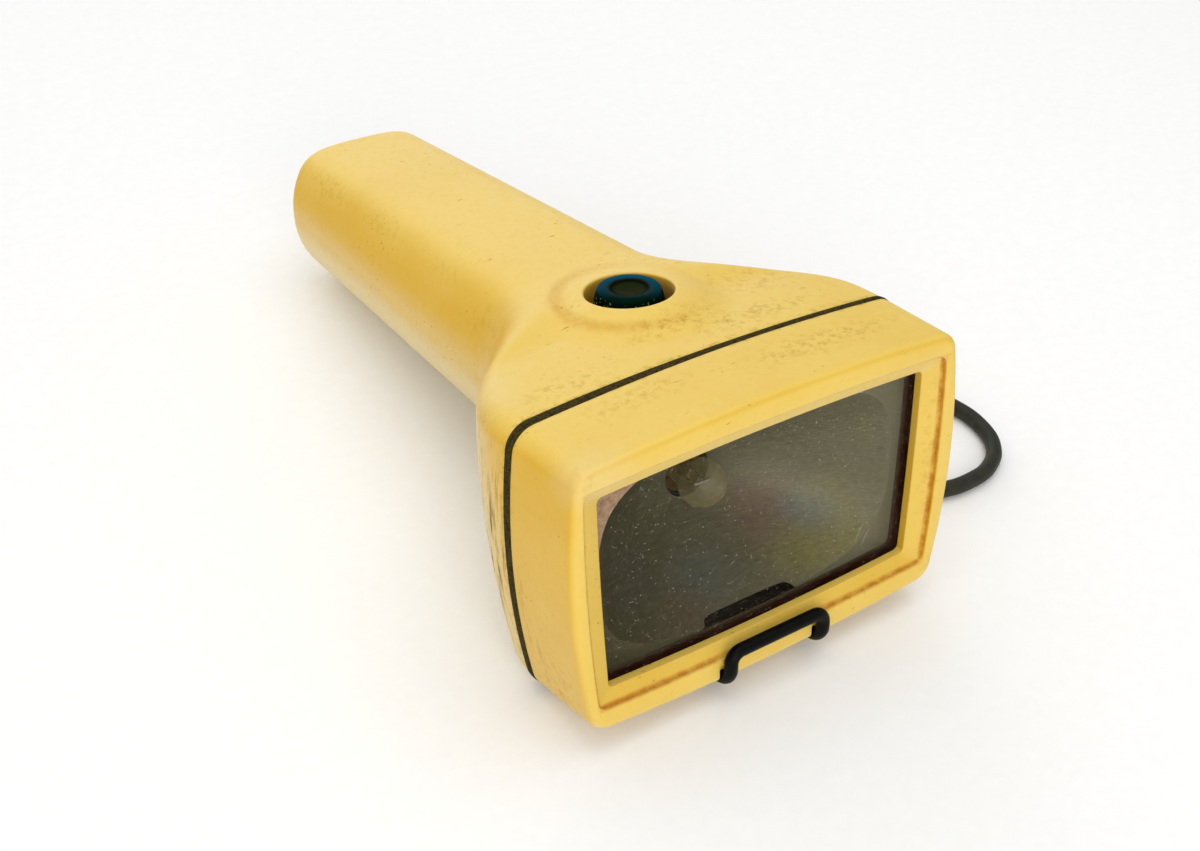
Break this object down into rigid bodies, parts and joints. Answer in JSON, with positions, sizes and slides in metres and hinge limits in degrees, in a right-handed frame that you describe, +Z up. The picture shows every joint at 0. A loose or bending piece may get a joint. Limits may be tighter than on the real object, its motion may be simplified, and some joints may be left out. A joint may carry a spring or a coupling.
{
  "type": "flashlight",
  "caption": "Waterproof hand torch with a wide rectangular head, a tapered round handle with a flat top, a rubber push button, a wire bail and a wrist cord.",
  "frame": {"origin": "middle of the flat under the head that the torch rests on", "axes": "+Z up from the surface it lies on, -Y towards the lens, +X to the right for someone who looks at the lens"},
  "size_m": [0.1996, 0.2444, 0.0879],
  "materials": {
    "body_plastic": "moulded, worn to a satin sheen, aged yellow",
    "bezel_plastic": "moulded, worn to a satin sheen, aged yellow",
    "seal_rubber": "matt, dark olive with dust",
    "clear_lens": "clear moulded plastic, dusty and finely scratched",
    "metallised_plastic": "vacuum-metallised, dulled",
    "plated_steel": "zinc plated",
    "bulb_glass": "clear",
    "brass": "plain, tarnished",
    "dark_plastic": "moulded, matt",
    "coated_wire": "black coated steel wire",
    "button_rubber": "dark green, smooth, dusty in the corners",
    "pale_plastic": "moulded, plain",
    "cell_jacket": "plain film jacket round the can",
    "cord_plastic": "dark plastic cord, dull"
  },
  "bodies": {
    "body": {"body_shell": "body_plastic", "seal_gasket": "seal_rubber", "button_skirt": "button_rubber", "skirt_ring": "seal_rubber", "switch_spring": "plated_steel", "switch_housing": "dark_plastic", "switch_base": "dark_plastic", "switch_screws": "plated_steel", "bulb_leaf": "brass", "cell_bulkhead": "dark_plastic", "positive_contact": "brass", "front_cell": "cell_jacket", "rear_cell": "cell_jacket", "tail_spring": "plated_steel", "tail_plate": "plated_steel", "return_strip": "plated_steel", "lanyard_cord": "cord_plastic"},
    "front": {"front_bezel": "bezel_plastic", "lens": "clear_lens", "lens_seal": "seal_rubber", "reflector": "metallised_plastic", "reflector_screws": "plated_steel", "bulb_glass": "bulb_glass", "bulb_base": "brass", "bulb_filament": "plated_steel", "bulb_holder": "dark_plastic", "holder_ring": "plated_steel"},
    "bail": {"bail": "coated_wire"},
    "button": {"button_cap": "button_rubber", "switch_plunger": "pale_plastic"}
  },
  "joints": [
    {"name": "bezel_pull", "type": "slide", "parent": "body", "child": "front", "axis": [0, -0.982, 0.1889], "range_m": [0, 0.07]},
    {"name": "bail_swing", "type": "hinge", "parent": "front", "child": "bail", "pos_m": [0, -0.02045, 0.00802], "axis": [1, 0, 0], "range_deg": [0, 80]},
    {"name": "button_press", "type": "slide", "parent": "body", "child": "button", "axis": [0, -0.1889, -0.982], "range_m": [0, 0.003], "stiffness_N_per_m": 600, "springref_m": -0.002, "deforming": ["switch_spring", "button_skirt"]}
  ]
}
